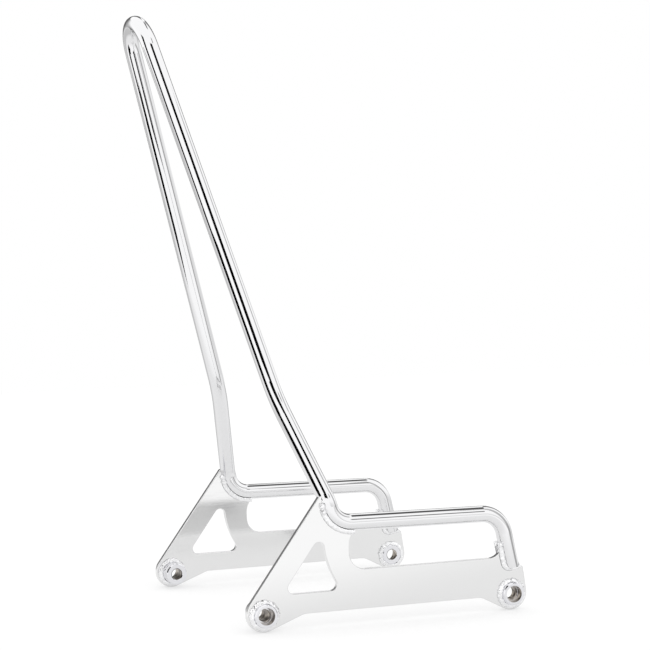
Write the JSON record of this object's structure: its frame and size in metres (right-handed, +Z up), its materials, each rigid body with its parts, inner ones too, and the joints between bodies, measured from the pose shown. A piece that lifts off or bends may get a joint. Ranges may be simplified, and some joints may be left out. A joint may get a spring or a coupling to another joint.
{
  "type": "sissy bar",
  "caption": "Chromed sissy bar: a tall, narrow hoop of bent round bar, welded to cut side plates with bored bungs that bolt to the sides of a motorbike's rear fender.",
  "frame": {"origin": "on the ground under the middle of the bounding box, with the part standing on the four lobes of its side plates", "axes": "+X is forward along the motorbike, +Y is to the rider's left and +Z is up"},
  "size_m": [0.273, 0.2542, 0.4651],
  "materials": {
    "bar_chrome": "mirror chrome plate on polished round bar",
    "plate_chrome": "mirror chrome plate on polished flat plate",
    "bung_chrome": "mirror chrome plate outside, duller plating inside the bore",
    "weld_chrome": "mirror chrome plate over lumpy weld metal"
  },
  "bodies": {
    "root": {"hoop_bar": "bar_chrome", "left_front_bung": "bung_chrome", "left_front_inner_bung_weld": "weld_chrome", "left_front_outer_bung_weld": "weld_chrome", "left_inner_bend_weld": "weld_chrome", "left_inner_leg_weld": "weld_chrome", "left_outer_bend_weld": "weld_chrome", "left_outer_leg_weld": "weld_chrome", "left_rear_bung": "bung_chrome", "left_rear_inner_bung_weld": "weld_chrome", "left_rear_outer_bung_weld": "weld_chrome", "left_side_plate": "plate_chrome", "right_front_bung": "bung_chrome", "right_front_inner_bung_weld": "weld_chrome", "right_front_outer_bung_weld": "weld_chrome", "right_inner_bend_weld": "weld_chrome", "right_inner_leg_weld": "weld_chrome", "right_outer_bend_weld": "weld_chrome", "right_outer_leg_weld": "weld_chrome", "right_rear_bung": "bung_chrome", "right_rear_inner_bung_weld": "weld_chrome", "right_rear_outer_bung_weld": "weld_chrome", "right_side_plate": "plate_chrome"}
  },
  "joints": []
}
